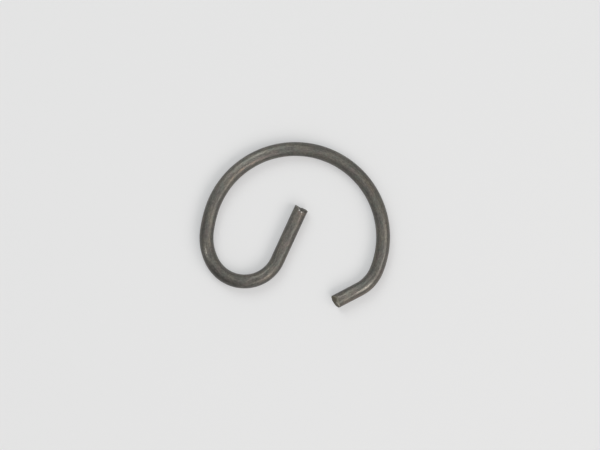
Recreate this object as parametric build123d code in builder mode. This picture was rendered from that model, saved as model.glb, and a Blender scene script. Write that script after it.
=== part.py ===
"""Piston pin retaining ring: one length of round spring wire, bent in one plane and sheared off at both ends.

Millimetres and degrees. The ring lies flat, with its axis on Z and the wire's centreline in the XY plane.
The ring springs into the groove of a pin bore. The hook end turns back into the ring, where pliers grip its tang.
"""

from build123d import *
import os

# The wire and the free ring
wire_diameter = 1.34
ring_outer_diameter = 18.25
ring_start_angle = -22.7
ring_sweep_angle = 186.3

# The hook end: the ring flattens a little, closes in two steps, and runs out in a straight tang
relief_inside_radius = 11.74
relief_sweep_angle = 8.5
shoulder_inside_radius = 4.31
shoulder_sweep_angle = 36.4
hook_inside_radius = 2.81
hook_sweep_angle = 126.8
tang_length = 5.55

# The plain end: one short bend inwards, and a straight tip
tip_bend_inside_radius = 2.89
tip_bend_sweep_angle = 39.7
tip_length = 2.58

# The sheared ends: each face leans back from square, so that it shows from above, and its rim is rolled over
tang_cut_lean_angle = 5.0
tang_cut_skew_angle = -2.0
tip_cut_lean_angle = 19.0
tip_cut_skew_angle = 4.5
rim_radius = 0.07

wire_radius = wire_diameter / 2
ring_radius = ring_outer_diameter / 2 - wire_radius
cut_overrun = wire_diameter


def centreline_radius(inside_radius):
    """Radius of the wire's centreline where it is bent round a mandrel of the inside radius."""
    return inside_radius + wire_radius


def shear_plane(leg, lean_angle, skew_angle):
    """Plane of the sheared face at the outer end of a straight leg, facing away from the wire."""
    square = Plane(origin=leg @ 1, x_dir=(0, 0, 1), z_dir=leg % 1)
    return square.rotated((skew_angle, lean_angle, 0))


# The centreline of the finished wire: the ring's arc first, then each end from there outwards
with BuildLine() as centreline:
    ring = CenterArc((0, 0), ring_radius, ring_start_angle, ring_sweep_angle)

    relief_radius = centreline_radius(relief_inside_radius)
    relief = JernArc(ring @ 1, ring % 1, relief_radius, relief_sweep_angle)
    shoulder_radius = centreline_radius(shoulder_inside_radius)
    shoulder = JernArc(relief @ 1, relief % 1, shoulder_radius, shoulder_sweep_angle)
    hook_radius = centreline_radius(hook_inside_radius)
    hook = JernArc(shoulder @ 1, shoulder % 1, hook_radius, hook_sweep_angle)
    tang = Line(hook @ 1, hook @ 1 + tang_length * (hook % 1))

    tip_bend_radius = centreline_radius(tip_bend_inside_radius)
    tip_bend = JernArc(ring @ 0, -(ring % 0), tip_bend_radius, -tip_bend_sweep_angle)
    tip = Line(tip_bend @ 1, tip_bend @ 1 + tip_length * (tip_bend % 1))

# The wire, drawn past both ends, and sheared there
with BuildPart() as retaining_ring:
    with BuildLine() as stock:
        add(centreline.line)
        Line(tang @ 1, tang @ 1 + cut_overrun * (tang % 1))
        Line(tip @ 1, tip @ 1 + cut_overrun * (tip % 1))
    stock_path = stock.wire()
    with BuildSketch(Plane(origin=stock_path @ 0, z_dir=stock_path % 0)):
        Circle(wire_radius)
    sweep(path=stock_path)

    tang_cut = shear_plane(tang, tang_cut_lean_angle, tang_cut_skew_angle)
    tip_cut = shear_plane(tip, tip_cut_lean_angle, tip_cut_skew_angle)
    for cut in (tang_cut, tip_cut):
        with BuildSketch(cut):
            Circle(wire_diameter)
        extrude(amount=2 * cut_overrun, mode=Mode.SUBTRACT)

    sheared_faces = retaining_ring.faces().filter_by(GeomType.PLANE)
    fillet(sheared_faces.edges(), rim_radius)

retaining_ring.part.label = "retaining_ring"

os.makedirs("parts", exist_ok=True)
export_step(retaining_ring.part, "parts/retaining_ring.step")
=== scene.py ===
"""Looks of the piston pin retaining ring: dark spring wire, bent and sheared, on a pale floor.

Metres, in the frame of the solids. The wire is modelled straight, with its sheared ends, and then bent.
Straight space has three coordinates: out of the bend, up, and along the wire from the tang's end.
"""

import math

import bpy
import numpy as np
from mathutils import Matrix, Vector, noise


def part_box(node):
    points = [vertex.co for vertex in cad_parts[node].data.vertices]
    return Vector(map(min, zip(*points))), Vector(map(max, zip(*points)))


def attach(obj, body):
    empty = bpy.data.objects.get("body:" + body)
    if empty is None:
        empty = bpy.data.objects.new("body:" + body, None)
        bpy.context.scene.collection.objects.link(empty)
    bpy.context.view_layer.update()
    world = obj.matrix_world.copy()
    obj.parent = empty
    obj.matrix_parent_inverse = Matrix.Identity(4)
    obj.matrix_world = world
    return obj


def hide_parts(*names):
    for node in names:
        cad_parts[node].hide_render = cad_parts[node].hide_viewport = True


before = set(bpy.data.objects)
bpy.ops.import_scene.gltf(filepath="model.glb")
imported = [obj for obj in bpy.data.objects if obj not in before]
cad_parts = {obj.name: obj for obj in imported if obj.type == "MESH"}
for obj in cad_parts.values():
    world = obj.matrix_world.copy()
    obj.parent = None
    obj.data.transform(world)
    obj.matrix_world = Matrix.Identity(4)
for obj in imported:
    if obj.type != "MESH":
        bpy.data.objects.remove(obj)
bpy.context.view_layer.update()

MM = 0.001
RING = "retaining_ring"
node_low, node_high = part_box(RING)

# The wire and the ring, read from the frame: the origin is on the ring's axis, in the middle of the wire
WIRE_RADIUS = (node_high.z - node_low.z) / 2
RING_RADIUS = node_high.x - WIRE_RADIUS

# The ring's arc, then the bends and legs from it to each end: inside radii, angles turned and lengths
RING_START_ANGLE = math.radians(-22.7)
RING_SWEEP = math.radians(186.3)
RELIEF_INSIDE_RADIUS = 11.74 * MM
RELIEF_SWEEP = math.radians(8.5)
SHOULDER_INSIDE_RADIUS = 4.31 * MM
SHOULDER_SWEEP = math.radians(36.4)
HOOK_INSIDE_RADIUS = 2.81 * MM
HOOK_SWEEP = math.radians(126.8)
TANG_LENGTH = 5.55 * MM
TIP_BEND_INSIDE_RADIUS = 2.89 * MM
TIP_BEND_SWEEP = math.radians(39.7)
TIP_LENGTH = 2.58 * MM

# The sheared ends: how each face leans back towards its top and its outer side
TANG_LEAN = math.radians(5.0)
TANG_SKEW = math.radians(2.0)
TIP_LEAN = math.radians(19.0)
TIP_SKEW = math.radians(4.5)

# Their rims: rounding, the tip's wider roll-over at its top, and the rim's painted highlight low down as a
# share of the top's
RIM_RADIUS = 0.05 * MM
TIP_ROLLOVER = 0.11 * MM
TIP_ROLLOVER_POWER = 1.5
LOWER_RIM_HIGHLIGHT = 0.3

# Relief of the sheared faces, in millimetres: place out and up, half widths of both, depth into the wire
TANG_RELIEF = [
    (0.16, 0.60, 0.28, 0.26, 0.17),
    (0.07, 0.47, 0.06, 0.08, 0.12),
    (-0.13, 0.10, 0.16, 0.70, 0.065),
    (-0.15, -0.20, 0.35, 0.90, 0.055),
    (0.11, -0.30, 0.07, 0.45, -0.03),
    (0.45, -0.10, 0.15, 0.45, -0.04),
    (-0.60, 0.00, 0.16, 0.60, -0.03),
    (0.72, 0.00, 0.16, 0.60, 0.04),
]
TIP_RELIEF = [
    (-0.22, 0.05, 0.10, 0.45, 0.014),
    (0.24, -0.10, 0.09, 0.40, -0.014),
    (0.05, -0.40, 0.40, 0.16, 0.018),
    (-0.30, 0.50, 0.25, 0.30, 0.10),
    (0.32, 0.45, 0.22, 0.28, -0.08),
]

# Grit of the torn metal: depths, size, fractal noise (increment, lacunarity, octaves) and its two layers
TANG_GRIT = 0.024 * MM
TIP_GRIT = 0.020 * MM
GRIT_SIZE = 0.15 * MM
GRIT_NOISE = (0.45, 2.1, 3)
TANG_GRIT_LAYER = 3.0
TIP_GRIT_LAYER = 8.0

# Its share at half height, and its least share, near the top, where the blade has smoothed the face
GRIT_HALF_WAY = 0.6
GRIT_AT_TOP = 0.2

# The tang's face is cleaner on its inner side: where its grit starts to rise, the width, the least share
CLEAN_SIDE_END = -0.3 * MM
CLEAN_SIDE_BLEND = 0.2 * MM
CLEAN_SIDE_GRIT = 0.3

# Raised specks with painted glints on the tang's upper edge, and pits with painted shade beside them: place
# out and along, half width, strength
SPECKS_WITH_GLINTS = [
    (-0.083 * MM, 0.28 * MM, 0.050 * MM, 0.9),
    (0.15 * MM, 0.375 * MM, 0.052 * MM, 0.62),
]
PITS = [
    (0.07 * MM, 0.22 * MM, 0.075 * MM, 1.0),
    (-0.138 * MM, 0.12 * MM, 0.055 * MM, 1.0),
]
SPECK_HEIGHT = 0.014 * MM
GLINT_STRENGTH = 1.4
PIT_DEPTH = 0.05 * MM

# Lines of the drawing die: height, length, and the radius at which noise is read round the wire
DIE_LINE_HEIGHT = 0.0025 * MM
DIE_LINE_LENGTH = 7 * MM
DIE_LINE_CIRCLE = 5

# The tang's swaged outer corner: height, place round in radians and along, and half widths of both
SWAGE_HEIGHT = 0.035 * MM
SWAGE_ANGLE = 0.25
SWAGE_HALF_ANGLE = 0.5
SWAGE_PLACE = 0.05 * MM
SWAGE_HALF_LENGTH = 0.13 * MM

# The tip's top is drawn down by the blade
TIP_DROP = 0.03 * MM
TIP_DROP_LENGTH = 0.3 * MM

# The skin's relief fades over the sheared faces towards their middles
RELIEF_FADE_POWER = 6
LEAST_RADIUS = 0.01 * MM

# Marks on the skin: millimetres along, degrees round from the outside over the top, half widths, strength
# Coppery tint, partly a painted warm sheen where the warm key lamp reflects
COPPER_AND_SHEEN_MARKS = [
    (22.2, 106, 0.3, 8, 0.8),
    (23.4, 108, 0.4, 9, 0.9),
    (24.7, 110, 0.35, 8, 0.6),
    (7.2, 58, 0.5, 14, 0.4),
    (0.55, 66, 0.12, 34, 0.45),
    (0.25, 34, 0.35, 22, 0.5),
    (0.42, 105, 0.08, 10, 0.5),
    (37.7, 76, 0.7, 14, 0.4),
    (47.6, 36, 1.5, 17, 0.6),
    (49.7, 36, 0.9, 16, 0.6),
    (50.7, 48, 0.14, 14, 0.8),
]
# Painted shade: the skin darkened where less lamp light falls on it
PAINTED_SHADE_MARKS = [
    (11.4, 58, 1.9, 36, 0.8),
    (6.8, 42, 1.2, 18, 0.42),
    (10.3, 40, 0.5, 14, 0.9),
    (12.6, 48, 0.4, 12, 0.25),
    (16.8, 50, 1.6, 20, 0.36),
    (8.4, 76, 1.1, 46, 0.34),
    (0.20, 47, 0.16, 25, 0.95),
    (0.65, 64, 0.20, 28, 0.25),
    (36.6, 42, 2.0, 12, 0.25),
    (22.8, 121, 2.4, 9, 0.25),
    (11.5, 90, 1.6, 16, 0.42),
    (49.6, 117, 1.1, 9, 0.3),
    (48.9, 55, 1.6, 9, 0.42),
    (50.3, 36, 0.4, 14, 0.42),
    (45.3, 107, 0.10, 6, 0.8),
    (45.8, 104, 0.10, 6, 0.7),
]
# Rubbed places: glossier, with painted highlights where the lamps reflect
BURNISH_AND_HIGHLIGHT_MARKS = [
    (47.7, 75, 0.8, 10, 1.2),
    (49.6, 74, 0.9, 9, 0.25),
    (49.2, 97, 1.2, 12, 0.35),
    (14.4, 69, 0.65, 9, 1.9),
    (50.66, 60, 0.14, 20, 1.0),
    (7.1, 73, 0.4, 10, 0.45),
    (41.2, 70, 1.0, 10, 0.55),
    (43.9, 63, 1.4, 12, 0.25),
    (33.4, 66, 1.7, 14, 0.35),
    (20.6, 62, 1.5, 12, 0.3),
    (24.4, 80, 2.2, 26, 0.38),
    (2.6, 124, 3.2, 17, 0.33),
    (12.3, 121, 1.7, 13, 0.4),
]

# The mesh: columns round the wire from its lowest line, and rows along it, closer together near the ends
COLUMNS = 96
ROW_STEP = 0.1 * MM
END_ROW_STEP = 0.03 * MM
END_REACH = 1.5 * MM
RIM_ROWS = 6
FACE_ROWS = 22
END_ROWS = FACE_ROWS + RIM_ROWS
RIM_TURNS = np.linspace(0, 1, RIM_ROWS + 1)[1:]
ANGLES = 2 * math.pi * np.arange(COLUMNS) / COLUMNS - math.pi / 2
OUT, UP = np.cos(ANGLES), np.sin(ANGLES)
TOWARDS_TOP = np.clip(UP, 0, 1)


def bend(inside_radius, sweep):
    """Length and curvature of a bend of the wire. All bends turn clockwise."""
    radius = inside_radius + WIRE_RADIUS
    return radius * sweep, -1 / radius


# Lengths and curvatures of the wire's runs, from the tang's end to the tip's end
RUNS = [
    (TANG_LENGTH, 0.0),
    bend(HOOK_INSIDE_RADIUS, HOOK_SWEEP),
    bend(SHOULDER_INSIDE_RADIUS, SHOULDER_SWEEP),
    bend(RELIEF_INSIDE_RADIUS, RELIEF_SWEEP),
    bend(RING_RADIUS - WIRE_RADIUS, RING_SWEEP),
    bend(TIP_BEND_INSIDE_RADIUS, TIP_BEND_SWEEP),
    (TIP_LENGTH, 0.0),
]
RING_RUN = 4
WIRE_LENGTH = sum(length for length, _ in RUNS)

# The map for baking: the skin in strips across the square, and the two faces above them
STRIPS = 3
STRIP_HEIGHT = 0.25
MAP_MARGIN = 0.01
STRIP_END = 0.4 * MM
STRIP_SPAN = (WIRE_LENGTH + 2 * STRIP_END) / STRIPS
FACE_MAP_REACH = 0.8 * MM
FACE_MAP_RADIUS = 0.11
TANG_MAP_CENTRE = (0.14, 0.875)
TIP_MAP_CENTRE = (0.42, 0.875)


def run_poses():
    """Start of each run along the wire, its point and its heading, with the ring's arc about the origin."""
    along, point, heading, poses = 0.0, np.zeros(2), 0.0, []
    for length, curvature in RUNS:
        poses.append((along, point, heading))
        end = heading + curvature * length
        if curvature:
            chord = np.array([math.sin(end) - math.sin(heading), math.cos(heading) - math.cos(end)])
            chord = chord / curvature
        else:
            chord = length * np.array([math.cos(heading), math.sin(heading)])
        along, point, heading = along + length, point + chord, end
    ring_angle = RING_START_ANGLE + RING_SWEEP
    _, ring_point, ring_heading = poses[RING_RUN]
    turn = ring_angle - math.pi / 2 - ring_heading
    turned = np.array([[math.cos(turn), -math.sin(turn)], [math.sin(turn), math.cos(turn)]])
    shift = RING_RADIUS * np.array([math.cos(ring_angle), math.sin(ring_angle)]) - turned @ ring_point
    return [(a, turned @ p + shift, h + turn) for a, p, h in poses]


def bend_wire(straight):
    """Places points of straight space on the bent wire."""
    out, up, along = straight.T
    bent = np.zeros_like(straight)
    poses = run_poses()
    starts = np.array([a for a, _, _ in poses])
    which = np.clip(np.searchsorted(starts, along, side="right") - 1, 0, len(poses) - 1)
    for i, ((start, point, heading), (_, curvature)) in enumerate(zip(poses, RUNS)):
        here = which == i
        travel = along[here] - start
        now = heading + curvature * travel
        if curvature:
            x = point[0] + (np.sin(now) - math.sin(heading)) / curvature
            y = point[1] + (math.cos(heading) - np.cos(now)) / curvature
        else:
            x = point[0] + travel * math.cos(heading)
            y = point[1] + travel * math.sin(heading)
        bent[here, 0] = x - out[here] * np.sin(now)
        bent[here, 1] = y + out[here] * np.cos(now)
        bent[here, 2] = up[here]
    return bent


def hump(value, middle, half_width):
    """A soft hump, 1 at the middle."""
    return np.exp(-(((value - middle) / half_width) ** 2))


def rough(out, up, layer):
    """Fracture noise over a sheared face, about -1 to 1, weaker towards the top."""
    torn = np.clip(GRIT_HALF_WAY - GRIT_HALF_WAY * up / WIRE_RADIUS, GRIT_AT_TOP, 1)
    places = np.stack([out, up], axis=1) / GRIT_SIZE
    return torn * np.array([noise.fractal(Vector((x, y, layer)), *GRIT_NOISE) for x, y in places])


def sheared_face(out, up, lean, skew, relief):
    """How far a sheared face stands back into the wire, without its grit."""
    back = up * math.tan(lean) + out * math.tan(skew)
    for middle_out, middle_up, half_out, half_up, depth in relief:
        across = hump(out / MM, middle_out, half_out)
        back = back + depth * MM * across * hump(up / MM, middle_up, half_up)
    return back


def tang_face(out, up):
    """The tang's face: cleaner on its inner side, and chipped near its top."""
    chipped = np.clip((out - CLEAN_SIDE_END) / CLEAN_SIDE_BLEND, CLEAN_SIDE_GRIT, 1)
    smooth = sheared_face(out, up, TANG_LEAN, TANG_SKEW, TANG_RELIEF)
    return smooth + TANG_GRIT * chipped * rough(out, up, TANG_GRIT_LAYER)


def tip_face(out, up):
    """The tip's face: one slope, which leans back a little more on its inner side."""
    smooth = sheared_face(out, up, TIP_LEAN, TIP_SKEW, TIP_RELIEF)
    return smooth + TIP_GRIT * rough(out, up, TIP_GRIT_LAYER)


def row(radius, along):
    """One ring of points in straight space."""
    radius, along = (np.broadcast_to(q, COLUMNS) for q in (radius, along))
    return np.stack([radius * OUT, radius * UP, along], axis=1)


def end_rows(face, rim):
    """Rows of one sheared end from its middle out to its rim, as if the wire began at zero and ran to plus.

    The second list holds the way from the middle to each row, measured over the rim.
    """
    rows, ways = [], []
    for share in np.linspace(0, 1, FACE_ROWS + 1)[1:]:
        radius = share * (WIRE_RADIUS - rim)
        rows.append(row(radius, face(radius * OUT, radius * UP)))
        ways.append(radius)
    for share in RIM_TURNS:
        turn = share * math.pi / 2
        radius = WIRE_RADIUS - rim * (1 - math.sin(turn))
        rows.append(row(radius, face(radius * OUT, radius * UP) + rim * (1 - math.cos(turn))))
        ways.append(WIRE_RADIUS - rim + rim * turn)
    return rows, ways


def skin_places():
    """Places of the skin's rows along the wire."""
    places, at = [], 0.0
    while at < WIRE_LENGTH / 2:
        near = min(1.0, at / END_REACH)
        at += END_ROW_STEP + (ROW_STEP - END_ROW_STEP) * near
        places.append(at)
    places = np.array(places) * (WIRE_LENGTH / 2 / places[-1])
    return np.concatenate([places, WIRE_LENGTH - places[-2::-1]])


def skin_rows(first, last):
    """Rows of the wire's skin between the two rims. Near an end they follow the shape of its rim."""
    rows = []
    for along in skin_places():
        near = max(0.0, 1 - along / END_REACH)
        far = max(0.0, 1 - (WIRE_LENGTH - along) / END_REACH)
        slant = near * first[:, 2] + far * (last[:, 2] - WIRE_LENGTH)
        rows.append(row(WIRE_RADIUS, along + slant))
    return rows


def spots(points, listed):
    """Strength of the listed round spots on the upper side of the wire, added up at each point."""
    total = np.zeros(len(points))
    for out, along, half_width, strength in listed:
        here = hump(points[:, 0], out, half_width) * hump(points[:, 2], along, half_width)
        total += strength * here * (points[:, 1] > 0)
    return total


def marks(points, listed):
    """Strength of the strongest of the listed marks at each point."""
    angle = np.degrees(np.arctan2(points[:, 1], points[:, 0]))
    total = np.zeros(len(points))
    for along, middle, half_length, half_angle, strength in listed:
        here = hump(points[:, 2] / MM, along, half_length) * hump(angle, middle, half_angle)
        total = np.maximum(total, strength * here)
    return total


def die_lines(angle, along):
    """Noise drawn out along the wire, about -1 to 1."""
    across = DIE_LINE_CIRCLE * np.cos(angle), DIE_LINE_CIRCLE * np.sin(angle)
    return np.array([noise.noise(Vector(place)) for place in zip(*across, along / DIE_LINE_LENGTH)])


def skin_relief(points):
    """Small changes of radius: die lines, the tang's corner, specks and pits, and the tip's dropped top."""
    out, up, along = points.T
    radius = np.hypot(out, up)
    angle = np.arctan2(up, out)
    swaged = hump(angle, SWAGE_ANGLE, SWAGE_HALF_ANGLE) * hump(along, SWAGE_PLACE, SWAGE_HALF_LENGTH)
    dropped = np.clip(np.sin(angle), 0, 1) * hump(along, WIRE_LENGTH, TIP_DROP_LENGTH)
    grow = DIE_LINE_HEIGHT * die_lines(angle, along) + SWAGE_HEIGHT * swaged - TIP_DROP * dropped
    grow += SPECK_HEIGHT * spots(points, SPECKS_WITH_GLINTS) - PIT_DEPTH * spots(points, PITS)
    share = np.clip(radius / WIRE_RADIUS, 0, 1) ** RELIEF_FADE_POWER
    factor = 1 + share * grow / np.maximum(radius, LEAST_RADIUS)
    return np.stack([out * factor, up * factor, along], axis=1)


def closed(values):
    """A row's values with the first repeated at the end, where the row closes."""
    return np.append(values, values[:1])


def skin_map(along, strip):
    """Places of a row of skin on the map."""
    across = (closed(along) + STRIP_END) / STRIP_SPAN - strip
    round_the_wire = np.arange(COLUMNS + 1) / COLUMNS
    u = MAP_MARGIN + (1 - 2 * MAP_MARGIN) * across
    v = strip * STRIP_HEIGHT + MAP_MARGIN + (STRIP_HEIGHT - 2 * MAP_MARGIN) * round_the_wire
    return np.stack([u, v], axis=1)


def face_map(way, centre):
    """Places of a row of a sheared end on the map."""
    scaled = closed(np.broadcast_to(way, COLUMNS)) / FACE_MAP_REACH * FACE_MAP_RADIUS
    return np.stack([centre[0] + scaled * closed(OUT), centre[1] + scaled * closed(UP)], axis=1)


def quads(low, high):
    """The four corners of each face between two closed rows, in the order of the faces."""
    return np.stack([low[:-1], low[1:], high[1:], high[:-1]], axis=1).reshape(-1, low.shape[1])


def fan(hub, ring, forwards):
    """The three corners of each face between a middle and a closed row."""
    hubs = np.broadcast_to(hub, (COLUMNS, len(hub)))
    sides = (ring[:-1], ring[1:]) if forwards else (ring[1:], ring[:-1])
    return np.stack([hubs, *sides], axis=1).reshape(-1, len(hub))


def wire_faces(rows, tang_ways, tip_ways):
    """Faces between the rows and round the two middles, and the places of their corners on the map."""
    numbers = np.arange(len(rows) * COLUMNS).reshape(-1, COLUMNS)
    numbers = [closed(line)[:, None] for line in numbers]
    corners, places = [], []
    for i in range(len(rows) - 1):
        corners.append(quads(numbers[i], numbers[i + 1]))
        if i + 1 < END_ROWS:
            pair = [face_map(way, TANG_MAP_CENTRE) for way in tang_ways[i:i + 2]]
        elif i + 1 > len(rows) - END_ROWS:
            pair = [face_map(tip_ways[len(rows) - 1 - k], TIP_MAP_CENTRE) for k in (i, i + 1)]
        else:
            strip = min(STRIPS - 1, int((rows[i][:, 2].mean() + STRIP_END) / STRIP_SPAN))
            pair = [skin_map(line[:, 2], strip) for line in rows[i:i + 2]]
        places.append(quads(*pair))
    places.append(fan(TANG_MAP_CENTRE, face_map(tang_ways[0], TANG_MAP_CENTRE), False))
    places.append(fan(TIP_MAP_CENTRE, face_map(tip_ways[0], TIP_MAP_CENTRE), True))
    tang_middle = len(rows) * COLUMNS
    four_sided = np.concatenate(corners).reshape(-1, 4)
    tang_fan = fan([tang_middle], numbers[0], False).reshape(-1, 3)
    tip_fan = fan([tang_middle + 1], numbers[-1], True).reshape(-1, 3)
    return [*four_sided.tolist(), *tang_fan.tolist(), *tip_fan.tolist()], np.concatenate(places)


def keep_for_material(mesh, points):
    """Keeps on the mesh's points what the material reads: straight space, cut faces, rims and marks, with
    their painted sheen, highlights, shade and glints.
    """
    skin = [0.0] * (len(points) // COLUMNS - 2 * END_ROWS)
    cut = [1.0] * FACE_ROWS + [1 - turn for turn in RIM_TURNS]
    cut = np.repeat([*cut, *skin, *reversed(cut)], COLUMNS)
    # The rims get a painted highlight, strongest at their top
    rim = [0.0] * FACE_ROWS + [math.sin(math.pi * turn) for turn in RIM_TURNS]
    rim_highlight_share = LOWER_RIM_HIGHLIGHT + (1 - LOWER_RIM_HIGHLIGHT) * TOWARDS_TOP
    rim = np.outer([*rim, *skin, *reversed(rim)], rim_highlight_share)
    kept = {
        "cut": np.append(cut, [1, 1]),
        "rim": np.append(rim, [0, 0]),
        "copper_and_sheen": marks(points, COPPER_AND_SHEEN_MARKS),
        "burnish_and_highlight": marks(points, BURNISH_AND_HIGHLIGHT_MARKS),
        # Painted shade in the marks and the pits; painted glints on the specks
        "painted_shade": np.maximum(marks(points, PAINTED_SHADE_MARKS), spots(points, PITS)),
        "painted_glint": np.clip(GLINT_STRENGTH * spots(points, SPECKS_WITH_GLINTS), 0, 1),
    }
    for name, values in kept.items():
        attribute = mesh.attributes.new(name, "FLOAT", "POINT")
        attribute.data.foreach_set("value", values.astype(np.float32))
    straight = mesh.attributes.new("straight", "FLOAT_VECTOR", "POINT")
    straight.data.foreach_set("vector", (points / MM).astype(np.float32).ravel())


def wire_mesh():
    """The whole wire as one closed mesh, with its map for baking and what the material reads."""
    tang, tang_ways = end_rows(tang_face, np.full(COLUMNS, RIM_RADIUS))
    tip, tip_ways = end_rows(tip_face, RIM_RADIUS + TIP_ROLLOVER * TOWARDS_TOP ** TIP_ROLLOVER_POWER)
    for line in tip:
        line[:, 2] = WIRE_LENGTH - line[:, 2]
    rows = [*tang, *skin_rows(tang[-1], tip[-1]), *reversed(tip)]
    middles = np.array([[0, 0, np.mean(end[0][:, 2])] for end in (tang, tip)])
    points = skin_relief(np.concatenate([*rows, middles]))
    faces, places = wire_faces(rows, tang_ways, tip_ways)

    mesh = bpy.data.meshes.new("wire")
    mesh.from_pydata(bend_wire(points).tolist(), [], faces)
    mesh.shade_smooth()
    bake_map = mesh.uv_layers.new(name="OFBake")
    bake_map.data.foreach_set("uv", places.astype(np.float32).ravel())
    keep_for_material(mesh, points)
    return mesh


wire = bpy.data.objects.new("spring_wire_ring", wire_mesh())
bpy.context.scene.collection.objects.link(wire)
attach(wire, "root")
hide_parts(RING)


class Graph:
    """The nodes of a material or world, added with their inputs in one call.

    An input is a value or another node's output.
    """

    def __init__(self, owner, shader):
        owner.use_nodes = True
        self.tree = owner.node_tree
        self.shader = self.tree.nodes[shader]

    def put(self, socket, value):
        """Sets a socket to a value, or links it to a node's output."""
        if isinstance(value, bpy.types.NodeSocket):
            self.tree.links.new(value, socket)
        else:
            socket.default_value = value

    def finish(self, inputs):
        """Gives the shader its inputs."""
        for name, value in inputs.items():
            self.put(self.shader.inputs[name], value)

    def add(self, kind, settings, inputs, output=0):
        """Adds a node and gives one of its outputs."""
        node = self.tree.nodes.new(kind)
        for name, value in settings.items():
            setattr(node, name, value)
        for name, value in inputs.items():
            self.put(node.inputs[name], value)
        return node.outputs[output]

    def attribute(self, name, output):
        """What the mesh keeps under a name."""
        return self.add("ShaderNodeAttribute", {"attribute_name": name}, {}, output)

    def noise(self, vector, stretch, scale, detail, roughness):
        """Noise in a stretched space."""
        stretched = self.add("ShaderNodeVectorMath", {"operation": "MULTIPLY"}, {0: vector, 1: stretch})
        inputs = {"Vector": stretched, "Scale": scale, "Detail": detail, "Roughness": roughness}
        return self.add("ShaderNodeTexNoise", {}, inputs, "Fac")

    def math(self, operation, *values):
        """A sum, product or other operation on values."""
        return self.add("ShaderNodeMath", {"operation": operation}, dict(enumerate(values)))

    def times(self, a, b):
        """A product."""
        return self.math("MULTIPLY", a, b)

    def spread(self, value, from_low, from_high, to_low, to_high):
        """A smooth step from one level to another."""
        inputs = {"Value": value, "From Min": from_low, "From Max": from_high}
        inputs.update({"To Min": to_low, "To Max": to_high})
        return self.add("ShaderNodeMapRange", {"interpolation_type": "SMOOTHSTEP"}, inputs)

    def mix(self, factor, a, b):
        """A mix of two colours."""
        return self.add("ShaderNodeMix", {"data_type": "RGBA"}, {0: factor, 6: a, 7: b}, 2)

    def mix_value(self, factor, a, b):
        """A mix of two levels."""
        return self.add("ShaderNodeMix", {"data_type": "FLOAT"}, {0: factor, 2: a, 3: b})

    def shade(self, colour, level):
        """A colour times a level, which may be above 1."""
        return self.add("ShaderNodeVectorMath", {"operation": "SCALE"}, {"Vector": colour, "Scale": level})


# Noise in the wire: stretch in straight space, scale per millimetre, octaves and their roughness
PATTERNS = {
    "cloud": ((1, 1, 0.4), 1.3, 4, 0.6),
    "patch": ((1, 1, 0.55), 2.9, 3, 0.5),
    "blotch": ((1, 1, 0.6), 2.1, 3, 0.5),
    "line": ((9, 9, 0.6), 1.0, 3, 0.6),
    "hairline": ((24, 24, 0.9), 1.0, 2, 0.5),
    "grain": ((1, 1, 0.6), 8.0, 4, 0.7),
    "score": ((15, 1.6, 0), 1.0, 3, 0.6),
    "crystal": ((1, 1, 1), 24.0, 3, 0.65),
}

# What the noise does: its pattern, the noise at which the effect begins and ends, and its two levels
EFFECTS = {
    "warm tint": ("cloud", 0.36, 0.64, 0.0, 1.0),
    "greenish tint": ("patch", 0.47, 0.66, 0.0, 0.85),
    "purplish tint": ("blotch", 0.50, 0.69, 0.0, 0.85),
    "streaky marks": ("line", 0.3, 0.6, 0.35, 1.0),
    "uneven rim highlight": ("blotch", 0.35, 0.65, 0.45, 0.85),
    "line shade": ("line", 0.3, 0.7, 0.87, 1.12),
    "hairline shade": ("hairline", 0.3, 0.7, 0.88, 1.12),
    "grain shade": ("grain", 0.3, 0.7, 0.60, 1.07),
    "score shade": ("score", 0.3, 0.7, 0.80, 1.15),
    "crystal shade": ("crystal", 0.3, 0.7, 0.70, 1.12),
    "satin": ("line", 0.25, 0.75, 0.46, 0.38),
}

# Millimetres along at which the tang's face colour has passed into the tip's
FACE_CHANGE = (10.0, 40.0, 0.0, 1.0)

# Painted shade on the flanks, darker lower down, by millimetres up, and where a face is torn, by millimetres
# up plus noise
FLANK_SHADE = (0.05, 0.45, 0.72, 1.0)
TORN = (0.56, 0.76, 1.0, 0.0)

# Rubbed places: how much of their painted highlight colour shows, and how much glossier they are
RUBBED_HIGHLIGHT_SHARE = 0.8
RUBBED_GLOSS = 0.12

# The shader's levels
METALLIC = 0.5
SCORED_ROUGHNESS = 0.48
TORN_ROUGHNESS = 0.62
BUMP_STRENGTH = 0.4
BUMP_DISTANCE = 0.006 * MM
GRAIN_BUMP = 0.5
HAIRLINE_BUMP = 0.4
SCORE_BUMP = 1.5
CRYSTAL_BUMP = 9.0

# Colours of the wire, in linear light; the coppery colour is partly a painted warm sheen, and the shade,
# rubbed, rim and glint colours are painted light
SKIN_SHADED = (0.129, 0.124, 0.115, 1)
SKIN_WARM = (0.186, 0.172, 0.144, 1)
SKIN_GREENISH = (0.145, 0.151, 0.132, 1)
SKIN_PURPLISH = (0.180, 0.153, 0.141, 1)
COPPER_AND_SHEEN_COLOUR = (0.268, 0.202, 0.153, 1)
PAINTED_SHADE_COLOUR = (0.073, 0.070, 0.063, 1)
RUBBED_HIGHLIGHT_COLOUR = (0.42, 0.395, 0.345, 1)
TANG_CUT = (0.120, 0.113, 0.098, 1)
TIP_CUT = (0.124, 0.110, 0.074, 1)
ROLLED_RIM_HIGHLIGHT = (0.42, 0.400, 0.32, 1)
RUBBED_RIM_HIGHLIGHT = (0.72, 0.67, 0.52, 1)
PAINTED_GLINT_COLOUR = (0.75, 0.74, 0.70, 1)


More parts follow.
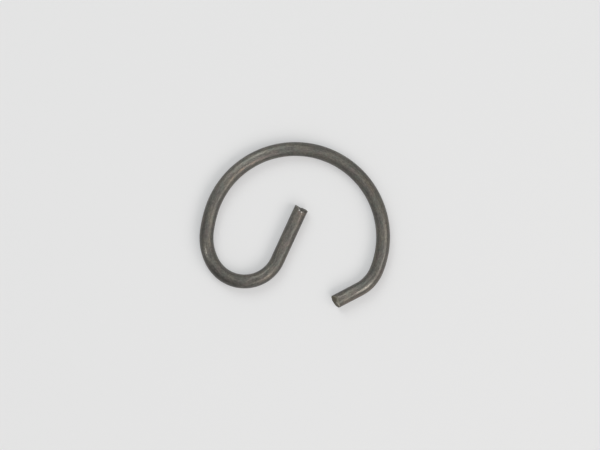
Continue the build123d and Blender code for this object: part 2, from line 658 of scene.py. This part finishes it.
def wire_material():
    """Oil-darkened spring steel: mottled grey-brown skin with drawing lines, and duller sheared faces."""
    material = bpy.data.materials.new("dark_spring_wire")
    g = Graph(material, "Principled BSDF")
    straight = g.attribute("straight", "Vector")
    up = g.add("ShaderNodeSeparateXYZ", {}, {"Vector": straight}, "Y")
    along = g.add("ShaderNodeSeparateXYZ", {}, {"Vector": straight}, "Z")
    pattern = {name: g.noise(straight, *values) for name, values in PATTERNS.items()}
    effect = {name: g.spread(pattern[source], *levels) for name, (source, *levels) in EFFECTS.items()}
    mark = {name: g.attribute(name, "Fac") for name in ("cut", "rim", "copper_and_sheen", "burnish_and_highlight", "painted_shade", "painted_glint")}
    torn = g.spread(g.math("ADD", up, pattern["patch"]), *TORN)

    # Colour: tints of the skin in patches, the sheared faces, then a coppery tint with painted warm sheen,
    # painted highlights on rubbed places and rolled rims, and painted shade
    skin = g.mix(effect["warm tint"], SKIN_SHADED, SKIN_WARM)
    skin = g.mix(effect["greenish tint"], skin, SKIN_GREENISH)
    skin = g.mix(effect["purplish tint"], skin, SKIN_PURPLISH)
    face = g.mix(g.spread(along, *FACE_CHANGE), TANG_CUT, TIP_CUT)
    colour = g.mix(mark["cut"], skin, face)
    # Coppery tint with its painted warm sheen
    colour = g.mix(g.times(mark["copper_and_sheen"], effect["streaky marks"]), colour, COPPER_AND_SHEEN_COLOUR)
    # Painted highlights on the rubbed places and on the rims
    rubbed_highlight = g.times(mark["burnish_and_highlight"], g.times(effect["streaky marks"], RUBBED_HIGHLIGHT_SHARE))
    colour = g.mix(rubbed_highlight, colour, RUBBED_HIGHLIGHT_COLOUR)
    rim_highlight_colour = g.mix(mark["burnish_and_highlight"], ROLLED_RIM_HIGHLIGHT, RUBBED_RIM_HIGHLIGHT)
    colour = g.mix(g.times(mark["rim"], effect["uneven rim highlight"]), colour, rim_highlight_colour)
    # Painted shade over the marks and in the pits
    colour = g.mix(mark["painted_shade"], colour, PAINTED_SHADE_COLOUR)

    # Shade: drawing lines and fine grain on the skin, with painted shade darkening the lower flanks; faces
    # scored by the blade at the top and torn below
    drawn = g.times(effect["line shade"], effect["hairline shade"])
    drawn = g.times(drawn, effect["grain shade"])
    drawn = g.times(drawn, g.spread(up, *FLANK_SHADE))
    sheared = g.mix_value(torn, effect["score shade"], effect["crystal shade"])
    colour = g.shade(colour, g.mix_value(mark["cut"], drawn, sheared))
    # Painted glints on the specks
    colour = g.mix(mark["painted_glint"], colour, PAINTED_GLINT_COLOUR)

    # Gloss, and fine relief
    satin = g.math("SUBTRACT", effect["satin"], g.times(mark["burnish_and_highlight"], RUBBED_GLOSS))
    dull = g.mix_value(torn, SCORED_ROUGHNESS, TORN_ROUGHNESS)
    ridges = g.math("ADD", pattern["line"], g.times(pattern["grain"], GRAIN_BUMP))
    ridges = g.math("ADD", ridges, g.times(pattern["hairline"], HAIRLINE_BUMP))
    scores = g.times(pattern["score"], SCORE_BUMP)
    crystals = g.times(pattern["crystal"], CRYSTAL_BUMP)
    relief = {"Height": g.mix_value(mark["cut"], ridges, g.mix_value(torn, scores, crystals))}
    relief.update({"Strength": BUMP_STRENGTH, "Distance": BUMP_DISTANCE})
    g.finish({
        "Base Color": colour,
        "Roughness": g.mix_value(mark["cut"], satin, dull),
        "Metallic": METALLIC,
        "Normal": g.add("ShaderNodeBump", {}, relief),
    })
    return material


wire.data.materials.append(wire_material())

# The floor, which glows a little where the camera or a reflection sees it
FLOOR_HALF = 0.6
FLOOR_HEIGHT = min(vertex.co.z for vertex in wire.data.vertices)
FLOOR_CORNERS = [(-1, -1), (1, -1), (1, 1), (-1, 1)]
FLOOR_COLOUR = (0.545, 0.547, 0.552, 1)
FLOOR_GLOW_COLOUR = (0.986, 0.990, 1, 1)
FLOOR_GLOW = 0.268
FLOOR_ROUGHNESS = 0.7
FLOOR_SPECULAR = 0.2
floor_mesh = bpy.data.meshes.new("floor")
floor_points = [(FLOOR_HALF * x, FLOOR_HALF * y, FLOOR_HEIGHT) for x, y in FLOOR_CORNERS]
floor_mesh.from_pydata(floor_points, [], [(0, 1, 2, 3)])
floor = bpy.data.objects.new("floor", floor_mesh)
bpy.context.scene.collection.objects.link(floor)
floor_material = bpy.data.materials.new("pale_floor")
floor_graph = Graph(floor_material, "Principled BSDF")
camera_ray = floor_graph.add("ShaderNodeLightPath", {}, {}, "Is Camera Ray")
glossy_ray = floor_graph.add("ShaderNodeLightPath", {}, {}, "Is Glossy Ray")
seen = floor_graph.math("MAXIMUM", camera_ray, glossy_ray)
floor_graph.finish({
    "Base Color": FLOOR_COLOUR,
    "Emission Color": FLOOR_GLOW_COLOUR,
    "Emission Strength": floor_graph.times(seen, FLOOR_GLOW),
    "Roughness": FLOOR_ROUGHNESS,
    "Specular IOR Level": FLOOR_SPECULAR,
})
floor_mesh.materials.append(floor_material)

# The camera looks straight down on the middle of the photograph
PIXELS_PER_MM = 10.394
PHOTO_WIDTH, PHOTO_HEIGHT = 600, 450
RING_AXIS_PIXEL = (295.25, 236.86)
CAMERA_HEIGHT = 0.4
SENSOR_WIDTH = 36.0
camera_data = bpy.data.cameras.new("camera")
camera = bpy.data.objects.new("camera", camera_data)
bpy.context.scene.collection.objects.link(camera)
camera.location = (
    (PHOTO_WIDTH / 2 - RING_AXIS_PIXEL[0]) / PIXELS_PER_MM * MM,
    (RING_AXIS_PIXEL[1] - PHOTO_HEIGHT / 2) / PIXELS_PER_MM * MM,
    CAMERA_HEIGHT,
)
camera_data.sensor_width = SENSOR_WIDTH
camera_data.lens = SENSOR_WIDTH * CAMERA_HEIGHT / (PHOTO_WIDTH / PIXELS_PER_MM * MM)
bpy.context.scene.camera = camera

# Soft lamps aimed at the ring: degrees from +X to +Y and off the vertical, width, height, watts, colour
LAMP_DISTANCE = 0.5
WARM = (1.0, 0.955, 0.915)
COOL = (0.955, 1.0, 0.985)
NEUTRAL = (1.0, 1.0, 1.0)
LAMPS = {
    "key": (-58, 45, 0.30, 0.28, 0.66, WARM),
    "right": (-14, 47, 0.24, 0.24, 0.54, WARM),
    "fill": (115, 44, 0.28, 0.26, 0.68, COOL),
    "top": (0, 4, 0.20, 0.20, 0.14, NEUTRAL),
    "side": (200, 38, 0.07, 0.07, 0.07, COOL),
}
for name, (azimuth, from_vertical, width, height, watts, lamp_colour) in LAMPS.items():
    lamp_data = bpy.data.lights.new(name, "AREA")
    lamp_data.shape = "RECTANGLE"
    lamp_data.size = width
    lamp_data.size_y = height
    lamp_data.energy = watts
    lamp_data.color = lamp_colour
    lamp = bpy.data.objects.new(name, lamp_data)
    a, v = math.radians(azimuth), math.radians(from_vertical)
    back = Vector((math.cos(a) * math.sin(v), math.sin(a) * math.sin(v), math.cos(v)))
    lamp.location = LAMP_DISTANCE * back
    lamp.rotation_mode = "QUATERNION"
    lamp.rotation_quaternion = back.to_track_quat("Z", "Y")
    bpy.context.scene.collection.objects.link(lamp)

# The room: soft light from all round, a little weaker along one line between the lamps
ROOM_COLOUR = (1, 1, 1, 1)
ROOM_LEVEL = 0.425
ROOM_DIP = 0.16
ROOM_DIM_LINE = (0.857, 0.515, 0.0)
world = bpy.data.worlds.new("soft_room")
bpy.context.scene.world = world
room = Graph(world, "Background")
direction = room.add("ShaderNodeTexCoord", {}, {}, "Generated")
dot_inputs = {0: direction, 1: ROOM_DIM_LINE}
on_line = room.add("ShaderNodeVectorMath", {"operation": "DOT_PRODUCT"}, dot_inputs, "Value")
level = room.math("MULTIPLY_ADD", room.times(on_line, on_line), -ROOM_DIP, ROOM_LEVEL)
room.finish({"Color": ROOM_COLOUR, "Strength": level})

bpy.context.scene.view_settings.view_transform = "Standard"
